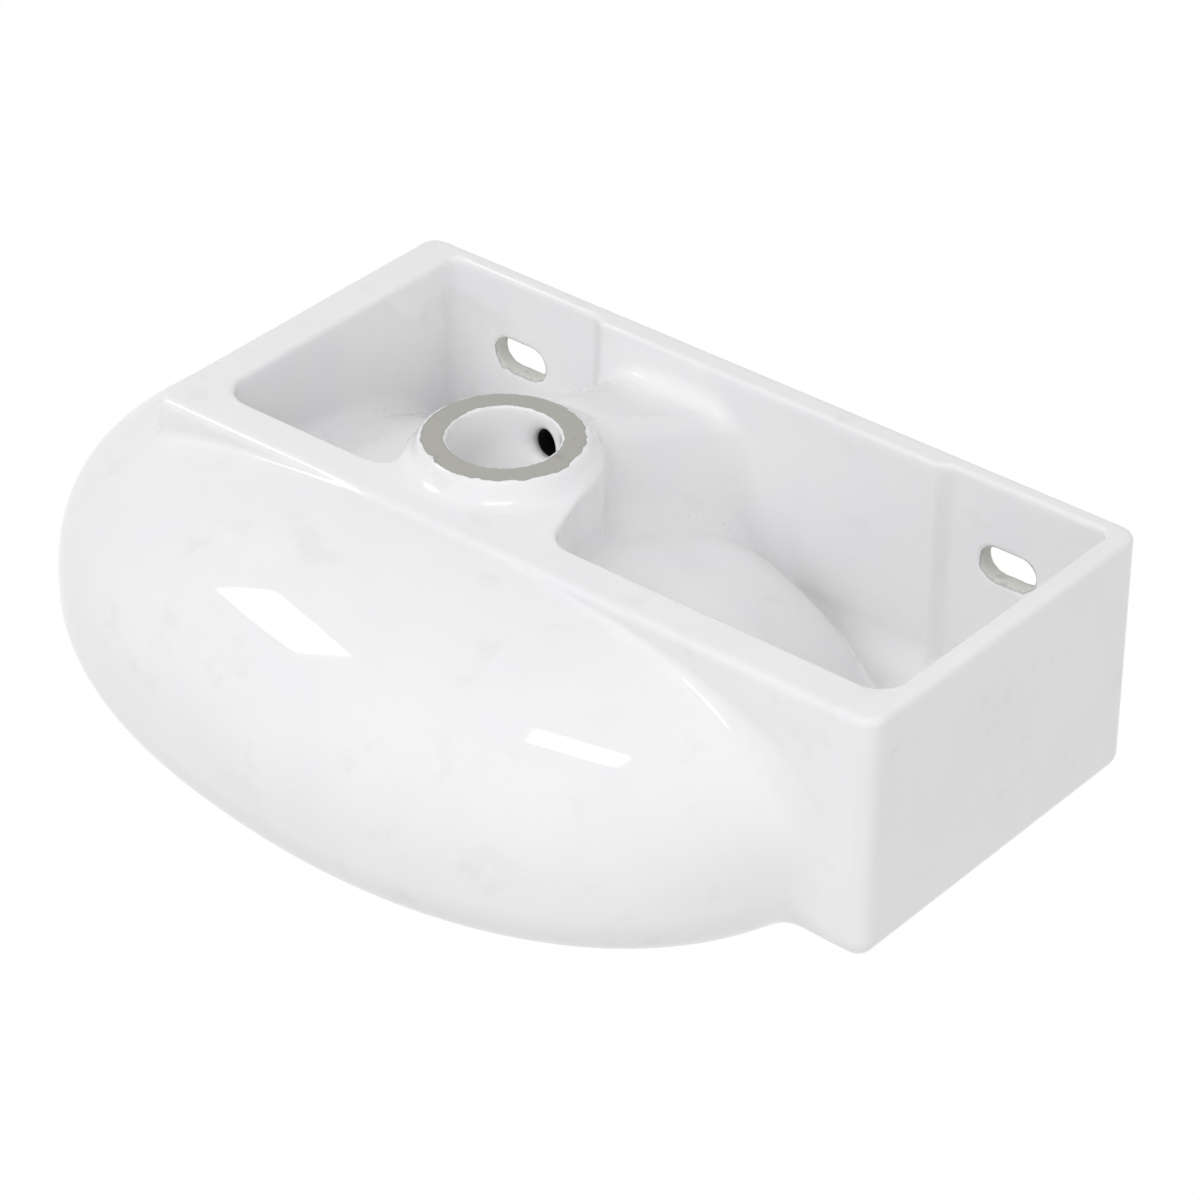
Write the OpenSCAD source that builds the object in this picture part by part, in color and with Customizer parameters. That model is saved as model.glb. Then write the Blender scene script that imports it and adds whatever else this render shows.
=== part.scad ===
// Small wall-hung basin in vitreous china, in its position of use: rim up, wall behind (+Y).
// The origin is midway between the two wall slots, on the back face, and sizes are millimetres.

/* [Wall box] */
// Width of the rectangular box that stands against the wall
box_w = 360; // [330:5:420]
// Depth of the box from the wall to its front face
box_d = 172; // [160:2:200]
// Height from the rim down to the foot of the skirt
box_h = 110; // [100:1:130]
// Thickness of the flat deck
deck_t = 12; // [9:1:15]
// Thickness of the back wall at the slots
back_t = 8.5; // [7:0.5:11]
// Extra thickness of the middle of the back wall
pad_t = 3.5; // [2:0.5:5]
// Width of that thick middle
pad_w = 176; // [150:2:190]
// Distance of that thick middle from the middle of the box
pad_x = -6; // [-12:1:6]
// Thickness of the side wall below the tap
tap_side_t = 9; // [7:0.5:12]
// Thickness of the side wall below the bowl
bowl_side_t = 19; // [14:1:22]
// Thickness of the front wall
front_t = 20; // [15:1:24]
// Radius of the upright corners
corner_r = 7; // [4:0.5:10]
// Radius of the top edges
rim_r = 9; // [5:0.5:11]
// Radius of the edges of the foot
foot_r = 3; // [1.5:0.5:4]
// Radius of the corners inside the skirt
inner_r = 12; // [8:1:16]

/* [Oval bowl] */
// Length of the widest outline of the oval
oval_l = 398; // [380:2:410]
// Breadth of the widest outline
oval_b = 276; // [264:2:284]
// Distance of the oval's middle from the middle of the box
oval_x = 41; // [30:1:46]
// Distance of the oval's middle from the wall
oval_y = 131; // [125:1:140]
// Turn of the oval in plan, in degrees
oval_turn = 7.7; // [4:0.1:10]
// Height of the rolled rim, down to the widest outline
roll_h = 27; // [20:1:32]
// How far the rolled rim draws in at its top
roll_in = 25; // [18:1:28]
// Length of the bowl's opening
opening_l = 336; // [310:2:340]
// Breadth of the bowl's opening
opening_b = 204; // [190:2:210]
// Radius of the edge of the opening
lip_r = 6; // [3:0.5:7]
// Depth of the bowl below the rim
bowl_depth = 67; // [58:1:72]
// Thickness of the bowl at its bottom
bowl_t = 11; // [8:0.5:13]
// How far the bowl's underside lies inside the widest outline
underside_in = 9; // [8:0.5:12]
// Thickness of the front apron
apron_t = 10; // [8:0.5:12]
// Depth of the seat between the apron and the bowl, below the widest outline
apron_seat = 8; // [5:1:12]

/* [Waste] */
// Distance of the waste from the middle of the box
waste_x = 42; // [36:1:50]
// Distance of the waste from the wall
waste_y = 116.5; // [108:0.5:120]
// Bore of the waste
waste_d = 45; // [42:0.5:47]
// Outer diameter of the flat seat below the waste
seat_d = 65; // [60:1:70]
// Depth of that seat below the rim
seat_drop = 119; // [114:1:124]
// Outer diameter of the boss at its root
boss_root_d = 76; // [72:1:82]
// Diameter of the dished recess above the waste
sink_d = 66; // [58:1:70]
// Depth of that recess
sink_h = 5; // [3:0.5:7]
// Radius of the web's corner at the front wall, on the side of the tap
web_tap_r = 30; // [20:1:36]
// Radius of the web's corner at the front wall, on the side of the overhang
web_bowl_r = 18; // [10:1:24]

/* [Overflow] */
// Depth of the overflow inlet below the rim
inlet_drop = 24; // [20:1:28]
// Bore for the overflow ring
inlet_d = 22; // [20:0.5:24]
// Diameter of the down way behind the bowl
shaft_d = 10; // [8:0.5:11]
// Thickness of china behind the down way
shaft_wall = 4; // [3:0.5:5]
// Diameter of the way that ends in the waste
way_d = 12; // [10:0.5:13]
// Depth of the way below the rim where it enters the waste
way_drop = 112; // [110:0.5:113]
// Fall of the duct from the wall to the boss, in degrees
duct_fall = 18; // [14:0.5:19]
// Distance of the duct's middle from the middle of the box
duct_x = 46; // [40:1:50]
// Width of the duct
duct_w = 74; // [66:1:75]
// Radius of the duct's long edges
duct_r = 14; // [8:1:18]
// Thickness of china below the way
duct_floor = 6; // [4:0.5:7]
// Height of the duct's end above the seat
duct_end_h = 6; // [4:0.5:8]
// Diameter of the overflow ring's flange
ring_d = 31; // [28:0.5:34]
// Thickness of that flange
ring_flange = 2; // [1.5:0.25:2.5]
// Length of the ring's sleeve
ring_sleeve = 7; // [5:0.5:8]
// Wall of the sleeve
ring_wall = 1.5; // [1:0.25:2]

/* [Tap hole] */
// Diameter of the tap hole
tap_d = 35; // [32:0.5:36]
// Distance of the tap hole from the middle of the box
tap_x = 132; // [128:1:140]
// Distance of the tap hole from the wall
tap_y = 52; // [45:1:58]

/* [Wall slots] */
// Distance between the middles of the slots
slot_span = 250; // [230:1:270]
// Length of each slot
slot_l = 26; // [20:0.5:30]
// Height of each slot
slot_h = 14.5; // [10:0.5:16]
// Depth of the slots below the rim
slot_drop = 73; // [65:1:80]

/* [Fits] */
// Clearance round the overflow ring's sleeve
sleeve_gap = 0.3; // [0.2:0.05:0.5]
// Clearance round the overflow ring's flange
seat_gap = 0.5; // [0.3:0.05:1]

/* [Hidden] */
$fn = 64;
CHINA = "whitesmoke";
CHROME = "silver";

// Squareness of the oval in plan, of the apron, of the underside and of the bowl: 2 is an ellipse
plan_power = 2.18;
apron_power = 2.62;
under_power = 2.4;
bowl_power = 2.8;

// Points round each ring of a loft, and steps down its side
ring_points = 64;
steps = 12;
roll_steps = 6;
last_angle = 88;
first_angle = 20;

// How late the bowl's floor leans over to the waste
fall_power = 3;

rim_z = slot_drop;
foot_z = rim_z - box_h;
seat_z = rim_z - seat_drop;
neck_h = seat_drop - box_h;
deck_z = rim_z - deck_t;
roll_z = rim_z - roll_h;
mid_back_t = back_t + pad_t;
way_z = rim_z - way_drop;
under_depth = bowl_depth + bowl_t;
far = 2*box_w;

// How far a cut runs past the face that it opens, and the least step between two faces
over = 1;
eps = 0.01;

// Share of the full radius left at a share u of the depth
function shrink(u, e) = pow(max(0, 1 - pow(u, e)), 1/e);

// The waste, seen from the oval's middle and along its turned axes
off_x = waste_x - oval_x;
off_y = oval_y - waste_y;
low_x = off_x*cos(oval_turn) + off_y*sin(oval_turn);
low_y = off_y*cos(oval_turn) - off_x*sin(oval_turn);

// How far behind the oval's middle the bowl's wall lies, straight behind the waste
function back_reach(drop, guess, tries = 4) =
    let (u = drop/bowl_depth, k = shrink(u, bowl_power), s = pow(u, fall_power))
    let (across = off_x*cos(oval_turn) + guess*sin(oval_turn) - s*low_x)
    let (b = k*opening_b/2*shrink(abs(across)/(k*opening_l/2), plan_power) + s*low_y)
    let (next = (b + off_x*sin(oval_turn))/cos(oval_turn))
    tries == 0 ? next : back_reach(drop, next, tries - 1);

// One ring of the oval with half axes a and b at the height z, round the point mid
function ring(a, b, z, mid = [0, 0]) = [
    for (i = [0 : ring_points - 1])
        let (c = cos(360*i/ring_points), s = sin(360*i/ring_points))
        [mid.x + a*sign(c)*pow(abs(c), 2/plan_power), mid.y + b*sign(s)*pow(abs(s), 2/plan_power), z]
];

// Rings of a dome that hangs from the height top to the height bottom, from the lowest ring up.
// The rings move over from the middle to the point low as they go down.
function dome_rings(a, b, top, bottom, e, first = 0, low = [0, 0]) = [
    for (i = [steps : -1 : 0])
        let (t = first + (last_angle - first)*i/steps)
        let (k = pow(cos(t), 2/e), u = pow(sin(t), 2/e))
        ring(a*k, b*k, top - (top - bottom)*u, low*pow(u, fall_power))
];

// Closed solid through rings that are listed from the lowest up
module loft(rings) {
    n = len(rings[0]);
    top = len(rings) - 1;
    sides = [
        for (j = [0 : top - 1], i = [0 : n - 1])
            let (a = j*n + i, b = j*n + (i + 1) % n)
            each [[a, a + n, b + n], [a, b + n, b]]
    ];
    floor_face = [[for (i = [0 : n - 1]) i]];
    roof_face = [[for (i = [n - 1 : -1 : 0]) top*n + i]];
    polyhedron([for (r = rings) each r], concat(floor_face, sides, roof_face));
}

// Places a shape in the turned frame of the oval
module on_oval() {
    translate([oval_x, -oval_y, 0]) rotate(oval_turn) children();
}

// Rolled rim: from the widest outline up to the flat crest
module roll_solid() {
    rings = [
        for (i = [0 : roll_steps])
            let (t = 90*i/roll_steps, draw = roll_in*(1 - cos(t)))
            ring(oval_l/2 - draw, oval_b/2 - draw, roll_z + roll_h*sin(t))
    ];
    on_oval() loft(rings);
}

// Outer form of the apron, below the widest outline
module apron_outer() {
    on_oval() loft(dome_rings(oval_l/2, oval_b/2, roll_z, foot_z, apron_power));
}

// Hollow behind the apron
module apron_inner() {
    on_oval() loft(dome_rings(oval_l/2 - apron_t, oval_b/2 - apron_t,
                              roll_z - apron_seat, foot_z + apron_t, apron_power));
}

// Underside of the bowl, cut off at the thick middle of the back wall
module under_solid() {
    a = oval_l/2 - underside_in;
    b = oval_b/2 - underside_in;
    difference() {
        on_oval() loft(dome_rings(a, b, rim_z, rim_z - under_depth, under_power, first = 6));
        behind_wall(mid_back_t);
    }
}

// Inside of the bowl, with its rounded lip
module bowl_space() {
    a = opening_l/2;
    b = opening_b/2;
    down = dome_rings(a, b, rim_z, rim_z - bowl_depth, bowl_power, first_angle, [low_x, low_y]);
    lip = [
        for (t = [30 : 30 : 90])
            let (out = lip_r*(1 - cos(t)))
            ring(a + out, b + out, rim_z - lip_r*(1 - sin(t)) + (t == 90 ? eps : 0))
    ];
    over = ring(a + lip_r, b + lip_r, rim_z + lip_r);
    on_oval() loft(concat(down, lip, [over]));
}

// Rectangle with rounded corners, standing on the point [x, y]
module rounded_rect(x, y, w, d, r) {
    translate([x + r, y]) square([w - 2*r, d]);
    translate([x, y + r]) square([w, d - 2*r]);
    for (cx = [x + r, x + w - r], cy = [y + r, y + d - r])
        translate([cx, cy]) circle(r);
}

// Profile with a radius r_top at its upper corners and r_foot at its lower ones
module two_radius_rect(x, y, w, h, r_top, r_foot) {
    translate([x, y + r_foot]) square([w, h - r_foot - r_top]);
    translate([x + r_top, y + r_foot]) square([w - 2*r_top, h - r_foot]);
    translate([x + r_foot, y]) square([w - 2*r_foot, h - r_top]);
    for (cx = [x + r_top, x + w - r_top])
        translate([cx, y + h - r_top]) circle(r_top);
    for (cx = [x + r_foot, x + w - r_foot])
        translate([cx, y + r_foot]) circle(r_foot);
}

// Whole outer block of the box, with soft edges
module box_block() {
    intersection() {
        translate([0, 0, foot_z])
            linear_extrude(box_h) rounded_rect(-box_w/2, -box_d, box_w, box_d, corner_r);
        rotate([90, 0, 0])
            linear_extrude(box_d) two_radius_rect(-box_w/2, foot_z, box_w, box_h, rim_r, foot_r);
        rotate([90, 0, 90]) translate([0, 0, -box_w/2])
            linear_extrude(box_w) two_radius_rect(-box_d, foot_z, box_d, box_h, rim_r, foot_r);
    }
}

// Plan of the box as an upright prism between two heights
module box_prism(low, high) {
    translate([0, 0, low])
        linear_extrude(high - low) rounded_rect(-box_w/2, -box_d, box_w, box_d, corner_r);
}

// Everything behind a plane that lies at a distance in front of the wall
module behind_wall(before = 0) {
    translate([-far/2, -before, -far/2]) cube(far);
}

// Space inside the skirt, open at the foot and rounded under the deck
module cavity_block(from_wall) {
    x0 = -box_w/2 + tap_side_t;
    w = box_w - tap_side_t - bowl_side_t;
    y0 = -box_d + front_t;
    d = box_d - front_t - from_wall;
    low = foot_z - 2*inner_r;
    h = deck_z - low;
    intersection() {
        translate([0, 0, low]) linear_extrude(h) rounded_rect(x0, y0, w, d, inner_r);
        translate([0, far/2, 0]) rotate([90, 0, 0])
            linear_extrude(far) rounded_rect(x0, low, w, h, inner_r);
        rotate([90, 0, 90]) translate([0, 0, -far/2])
            linear_extrude(far) rounded_rect(y0, low, d, h, inner_r);
    }
}

module cavity() {
    cavity_block(mid_back_t);
    difference() {
        cavity_block(back_t);
        translate([pad_x - pad_w/2, -mid_back_t - eps, foot_z - far/2]) cube([pad_w, far, far]);
    }
}

// One slot through the back wall, with round ends
module slot_hole() {
    half = (slot_l - slot_h)/2;
    reach = 3*mid_back_t;
    rotate([90, 0, 0]) translate([0, 0, -reach/2]) {
        for (x = [-half, half]) translate([x, 0, 0]) cylinder(h = reach, d = slot_h);
        translate([-half, -slot_h/2, 0]) cube([2*half, slot_h, reach]);
    }
}

// The point of the bowl's wall where the ring seats, and the lean of the wall there
inlet_y = back_reach(inlet_drop, opening_b/2) - oval_y;
inlet_z = rim_z - inlet_drop;
inlet_top_y = back_reach(inlet_drop - ring_d/2, opening_b/2);
inlet_foot_y = back_reach(inlet_drop + ring_d/2, opening_b/2);
inlet_tilt = atan((inlet_top_y - inlet_foot_y)/ring_d);
shaft_y = -mid_back_t - shaft_d/2 - shaft_wall;
shaft_floor = way_z + (shaft_y + waste_y)*tan(duct_fall);

// Places a shape at the inlet, with +Z out of the bowl's wall
module at_inlet() {
    translate([waste_x, inlet_y, inlet_z]) rotate([90 - inlet_tilt, 0, 0]) children();
}

// Water's way from the inlet down behind the bowl and forward into the waste
module overflow_way() {
    way_l = (waste_y + shaft_y + shaft_d/2 + over)/cos(duct_fall);
    translate([waste_x, -waste_y, way_z]) rotate([-90 + duct_fall, 0, 0])
        cylinder(h = way_l, d = way_d);
    translate([waste_x, shaft_y, shaft_floor]) cylinder(h = inlet_z - shaft_floor, d = shaft_d);
    translate([waste_x, inlet_y, inlet_z]) rotate([-90, 0, 0])
        cylinder(h = shaft_y - inlet_y, d = shaft_d);
}

// Bore and flat seat for the overflow ring
module inlet_cut() {
    at_inlet() {
        translate([0, 0, -ring_sleeve - over]) cylinder(h = 3*ring_sleeve, d = inlet_d);
        cylinder(h = 3*ring_sleeve, d = ring_d + 2*seat_gap);
    }
}

module waste_bore() {
    translate([waste_x, -waste_y, seat_z - over]) cylinder(h = seat_drop, d = waste_d);
}

module bowl() {
    sink_z = rim_z - bowl_depth;
    color(CHINA) difference() {
        union() {
            intersection() {
                box_block();
                box_prism(deck_z, rim_z + over);
            }
            difference() {
                roll_solid();
                box_prism(roll_z - over, deck_z);
                behind_wall(rim_r);
            }
            difference() {
                under_solid();
                translate([-far/2, -far/2, deck_z + deck_t/2]) cube(far);
            }
        }
        bowl_space();
        translate([waste_x, -waste_y, sink_z - sink_h])
            cylinder(h = 2*sink_h, d1 = waste_d, d2 = 2*sink_d - waste_d);
        waste_bore();
        overflow_way();
        inlet_cut();
        translate([-tap_x, -tap_y, deck_z - deck_t]) cylinder(h = 3*deck_t, d = tap_d);
    }
}

module apron() {
    color(CHINA) difference() {
        apron_outer();
        apron_inner();
        under_solid();
        box_prism(foot_z - over, roll_z + over);
        behind_wall();
    }
}

module skirt() {
    color(CHINA) difference() {
        intersection() {
            box_block();
            box_prism(foot_z - over, deck_z);
        }
        cavity();
        under_solid();
        inlet_cut();
        overflow_way();
        for (x = [-slot_span/2, slot_span/2]) translate([x, 0, 0]) slot_hole();
    }
}

// Turned form of the boss: the neck flares from the seat to the root at the level of the foot
module boss_solid() {
    translate([waste_x, -waste_y, seat_z]) cylinder(h = neck_h, d1 = seat_d, d2 = boss_root_d);
    translate([waste_x, -waste_y, foot_z]) cylinder(h = box_h - bowl_depth, d = boss_root_d);
}

// Plan of the web that joins the boss to the front wall, with a hollow corner on each side
module web_plan() {
    x0 = waste_x - boss_root_d/2;
    y0 = -box_d + front_t;
    reach = -waste_y - y0;
    difference() {
        translate([x0 - web_tap_r, y0]) square([boss_root_d + web_tap_r + web_bowl_r, reach]);
        translate([x0 - web_tap_r, y0 + web_tap_r]) circle(web_tap_r);
        translate([x0 - web_tap_r - eps, y0 + web_tap_r]) square([web_tap_r + eps, reach]);
        translate([x0 + boss_root_d + web_bowl_r, y0 + web_bowl_r]) circle(web_bowl_r);
        translate([x0 + boss_root_d, y0 + web_bowl_r]) square([web_bowl_r + eps, reach]);
    }
}

module waste_boss() {
    inside_y = -box_d + front_t;
    color(CHINA) difference() {
        union() {
            boss_solid();
            translate([0, 0, foot_z]) linear_extrude(box_h - bowl_depth) web_plan();
        }
        translate([-far/2, inside_y - far, foot_z]) cube(far);
        under_solid();
        waste_bore();
        overflow_way();
        translate([-far/2, -far/2, rim_z - bowl_depth]) cube(far);
    }
}

// Bar with rounded long edges that falls from the wall to the boss
module duct_bar() {
    drop = way_d/2 + duct_floor;
    translate([duct_x, -waste_y, way_z]) rotate([-90 + duct_fall, 0, 0])
        linear_extrude(far/4) rounded_rect(-duct_w/2, drop - far/4, duct_w, far/4, duct_r);
}

module overflow_duct() {
    color(CHINA) difference() {
        intersection() {
            duct_bar();
            cavity_block(mid_back_t);
        }
        translate([-far/2, -far/2, seat_z + duct_end_h - far]) cube(far);
        under_solid();
        boss_solid();
        overflow_way();
    }
}

module overflow_ring() {
    sleeve_d = inlet_d - 2*sleeve_gap;
    color(CHROME) at_inlet() difference() {
        union() {
            cylinder(h = ring_flange, d1 = ring_d, d2 = ring_d - 2*ring_flange);
            translate([0, 0, -ring_sleeve]) cylinder(h = ring_sleeve, d = sleeve_d);
        }
        translate([0, 0, -ring_sleeve - over])
            cylinder(h = ring_sleeve + ring_flange + 2*over, d = sleeve_d - 2*ring_wall);
    }
}

bowl();
apron();
skirt();
waste_boss();
overflow_duct();
overflow_ring();
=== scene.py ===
# %% [markdown]
# # A wall-hung basin in glazed vitreous china
# A basin like this is cast from liquid clay in plaster moulds. The castings are stuck together while
# they are soft, sponged smooth, sprayed with glaze and fired as one body, so no edge stays sharp and
# no seam stays visible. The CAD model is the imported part. It is loaded first, it stays fixed, and
# every piece of the basin made here takes the place of one of its nodes.

# %% Load the fixed frame
import math

import bpy
import numpy as np
from mathutils import Matrix


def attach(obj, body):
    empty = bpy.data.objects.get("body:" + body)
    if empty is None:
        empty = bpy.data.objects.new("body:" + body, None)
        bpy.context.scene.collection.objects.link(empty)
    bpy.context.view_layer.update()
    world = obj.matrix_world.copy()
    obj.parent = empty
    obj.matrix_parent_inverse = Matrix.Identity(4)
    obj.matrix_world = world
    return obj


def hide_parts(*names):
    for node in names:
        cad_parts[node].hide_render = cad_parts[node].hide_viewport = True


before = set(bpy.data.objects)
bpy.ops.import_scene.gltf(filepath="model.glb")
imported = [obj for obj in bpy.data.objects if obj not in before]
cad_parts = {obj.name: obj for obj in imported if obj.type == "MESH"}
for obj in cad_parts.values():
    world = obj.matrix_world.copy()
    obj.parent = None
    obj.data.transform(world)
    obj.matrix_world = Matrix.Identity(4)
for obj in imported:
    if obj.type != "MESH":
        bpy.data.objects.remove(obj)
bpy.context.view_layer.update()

MM = 0.001

# %% [markdown]
# ## The china as a field
# Fired china has a soft fillet wherever two forms meet, and there are dozens of such places here.
# Bevels and booleans would need each of them marked by hand, and a grid of two parameters can't give a
# body with a skirt, a boss, a duct and passages in one skin. A distance field gives them all from one
# formula: it is negative inside the clay and positive outside, and two forms are joined or cut by a
# rounded minimum or maximum, with the fillet's radius as a plain number.
#
# Every size is in millimetres, in the frame of the wall slots: x along the wall, y into the wall and
# z up. The wall is the plane y = 0, and the basin hangs in front of it.


# %% Rounded joins and cuts
def round_max(a, b, r):
    """What lies in both forms: the larger distance, with the edge between them rounded to radius r."""
    return np.minimum(np.maximum(a, b), -r) + np.hypot(np.maximum(a + r, 0), np.maximum(b + r, 0))


def round_min(a, b, r):
    """What lies in either form: the smaller distance, with a fillet of radius r where they meet."""
    return -round_max(-a, -b, r)


def ease(t):
    """Soft step from 0 to 1: 3t^2 - 2t^3 between t = 0 and t = 1."""
    t = np.clip(t, 0, 1)
    return t * t * (3 - 2 * t)


def rounded_rect(x, y, x_range, y_range, r):
    """Distance to a rectangle with corners of radius r: the length of what passes its inner corners."""
    u = np.abs(x - sum(x_range) / 2) - (x_range[1] - x_range[0]) / 2 + r
    v = np.abs(y - sum(y_range) / 2) - (y_range[1] - y_range[0]) / 2 + r
    return np.hypot(np.maximum(u, 0), np.maximum(v, 0)) + np.minimum(np.maximum(u, v), 0) - r


print("a radius of 9 mm takes", round(float(round_max(0.0, 0.0, 9.0)), 2), "mm off a square corner")

# %% [markdown]
# Seen from above, the basin's front is an oval, a little squarer than an ellipse and turned against
# the wall. It could be traced with a spline of many points. A superellipse says the same with two half
# axes and a power, and a dome is the same curve again in height. Dividing by the slope turns both
# into a distance that is right near the surface, which is all that a fillet needs.

# %% Oval and dome
OVAL_MID, OVAL_TURN, OVAL_HALF, OVAL_POWER = (41.0, -131.0), math.radians(7.7), (199.0, 138.0), 2.18


def oval_size(x, y, half, lean=(0.0, 0.0)):
    """Superellipse size ((u/a)^p + (v/b)^p)^(1/p) along the turned axes, 1 on the outline, and its slopes."""
    c, s = math.cos(OVAL_TURN), math.sin(OVAL_TURN)
    dx, dy = x - OVAL_MID[0], y - OVAL_MID[1]
    u = (dx * c + dy * s - lean[0]) / half[0]
    v = (dy * c - dx * s - lean[1]) / half[1]
    p = OVAL_POWER
    size = np.maximum((np.abs(u) ** p + np.abs(v) ** p) ** (1 / p), 1e-3)
    slope_u = np.sign(u) * (np.abs(u) / size) ** (p - 1) / half[0]
    slope_v = np.sign(v) * (np.abs(v) / size) ** (p - 1) / half[1]
    return size, slope_u, slope_v


def dome(x, y, z, half, top, bottom, power, lean=None):
    """Distance to a dome that hangs from top to bottom: (size^e + depth^e)^(1/e) = 1 with depth from 0 to 1.
    With a lean its rings move over by lean times depth^3."""
    depth = np.maximum((top - z) / (top - bottom), 0)
    shift = (0.0, 0.0) if lean is None else (lean[0] * depth**3, lean[1] * depth**3)
    size, du, dv = oval_size(x, y, half, shift)
    whole = (size**power + depth**power) ** (1 / power)
    across = (size / whole) ** (power - 1)
    down = (depth / whole) ** (power - 1)
    if lean is not None:
        down = down - across * (du * lean[0] + dv * lean[1]) * 3 * depth**2
    return (whole - 1) / np.sqrt(across**2 * (du**2 + dv**2) + (down / (top - bottom)) ** 2)


print("the oval measures", 2 * OVAL_HALF[0], "by", 2 * OVAL_HALF[1], "mm along its own axes")

# %% [markdown]
# The outer skin is the box against the wall, the bulging oval in front of it and one rim that runs
# round both. The rim is tight on the box and wide on the oval, so its two radii change along the way,
# which a bevel of one width can't do. The fillet between box and oval is small at the foot and grows
# with the height above it.

# %% Outer skin
HALF_W, DEPTH, RIM_Z, FOOT_Z = 180.0, 172.0, 73.0, -37.0
CORNER_R, RIM_R, FOOT_R = 8.0, 9.0, 3.5
ROLL_IN, ROLL_H = 25.0, 27.0
ROLL_Z = RIM_Z - ROLL_H
OVAL_BACK, OVAL_FILLET, RIM_CHANGE = -10.0, 9.0, 24.0
APRON_POWER, APRON_FILLET, APRON_FILLET_GROWTH, APRON_FILLET_RISE = 2.62, 1.5, 7.5, 34.0


def outer_skin(x, y, z):
    """Box and oval joined by a fillet. Above the widest outline the edge is a quarter ellipse in the
    plan distance and the height. Its half axes go from the box's to the oval's."""
    box = rounded_rect(x, y, (-HALF_W, HALF_W), (-DEPTH, 0.0), CORNER_R)
    size, du, dv = oval_size(x, y, OVAL_HALF)
    behind = y - OVAL_BACK
    oval = np.maximum((size - 1) / np.hypot(du, dv), behind)
    share = ease((box - oval) / RIM_CHANGE + 0.5)
    plan = round_min(box, oval, OVAL_FILLET)
    roll_in = RIM_R + (ROLL_IN - RIM_R) * share
    roll_h = RIM_R + (ROLL_H - RIM_R) * share
    u = np.maximum(plan + roll_in, 0) / roll_in
    v = np.maximum(z - RIM_Z + roll_h, 0) / roll_h
    q = np.maximum(np.hypot(u, v), 1e-3)
    upper = (q - 1) * q / np.maximum(np.hypot(u / roll_in, v / roll_h), 1e-4)
    block = round_max(box, FOOT_Z - z, FOOT_R)
    apron = np.maximum(dome(x, y, z, OVAL_HALF, ROLL_Z, FOOT_Z, APRON_POWER), behind)
    fillet = APRON_FILLET + APRON_FILLET_GROWTH * ease((z - FOOT_Z) / APRON_FILLET_RISE)
    lower = round_min(block, apron, fillet)
    return np.where(z > ROLL_Z, upper, lower), box


print("the rim stands", RIM_Z - FOOT_Z, "mm above the skirt's foot")

# %% [markdown]
# The underside is open. Inside the skirt hang the bowl's own dome, the boss of the waste with its web
# to the front wall, and the duct that brings the overflow's water down from the back wall. The plaster
# core that leaves this space is drawn out downwards, so the space is one plan carried upwards, under
# a rounded roof. The back wall is thicker between the slots, with a soft step at each end.

# %% Space inside the skirt
SPACE_X, SPACE_Y, SPACE_CORNERS = (-171.0, 161.0), (-152.0, 20.0), (12.0, 15.0)
BACK_T, BACK_CORNER, PAD_T, PAD_X, PAD_STEP = 8.5, 5.0, 3.5, (-94.0, 82.0), 9
DECK_Z, ROOF_R = 61.0, 13.0
WASTE, ROOT_R = (42.0, -116.5), 38.5
WEB_FOOT, WEB_TURN, WEB_BACK = (-10.0, -149.0), math.radians(70.9), -104.0
WEB_BOWL_R, WEB_TAP_R, WEB_CHANGE = 18.0, 9.0, 30.0


def from_waste(x, y):
    """Distance in plan to the waste's axis."""
    return np.hypot(x - WASTE[0], y - WASTE[1])


def skirt_space(x, y, z):
    """Rectangle less the root of the boss, with hollow corners, under a rounded roof. The root is a circle
    with a flat side that runs from it to the front wall, towards the tap."""
    corner = np.where(x > 0, SPACE_CORNERS[1], SPACE_CORNERS[0])
    plan = rounded_rect(x, y, SPACE_X, SPACE_Y, corner)
    back = BACK_T + PAD_T * ease((x - PAD_X[0]) / PAD_STEP + 0.5) * ease((PAD_X[1] - x) / PAD_STEP + 0.5)
    plan = round_max(plan, y + back, BACK_CORNER)
    root = from_waste(x, y) - ROOT_R
    flat = (WEB_FOOT[0] - x) * math.sin(WEB_TURN) + (y - WEB_FOOT[1]) * math.cos(WEB_TURN)
    root = np.minimum(root, np.maximum(flat, np.maximum(x - WASTE[0], y - WEB_BACK)))
    hollow = WEB_BOWL_R - (WEB_BOWL_R - WEB_TAP_R) * ease((WASTE[0] - x) / WEB_CHANGE + 0.5)
    plan = round_max(plan, -root, hollow)
    return round_max(plan, z - DECK_Z, ROOF_R), back


print("the space in the skirt is", SPACE_X[1] - SPACE_X[0], "mm long")

# %% [markdown]
# The duct is a thick bar of clay with the overflow's passage in it. A hull of a few spheres would come
# near it. Three slanting planes with a fillet on each edge give it exactly: its underside falls from
# the wall and then runs level into the boss, and its two sides lean.

# %% Duct of the overflow
FALL, SEAT_Z = math.radians(18.0), -46.0
DUCT_Y, DUCT_Z, DUCT_LENGTH, DUCT_BEND = -12.0, -17.7, 72.0, 4.0
DUCT_END, DUCT_TOP, DUCT_WALL = 6.2, 4.0, 5.0
DUCT_TAP_X, DUCT_TAP_IN, DUCT_TAP_SLANT, DUCT_TAP_R = 12.0, 17.0, 0.45, 7.0
DUCT_BOWL_X, DUCT_BOWL_IN, DUCT_BOWL_SLANT, DUCT_BOWL_R = 74.0, 6.0, 0.2, 16.0


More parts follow.
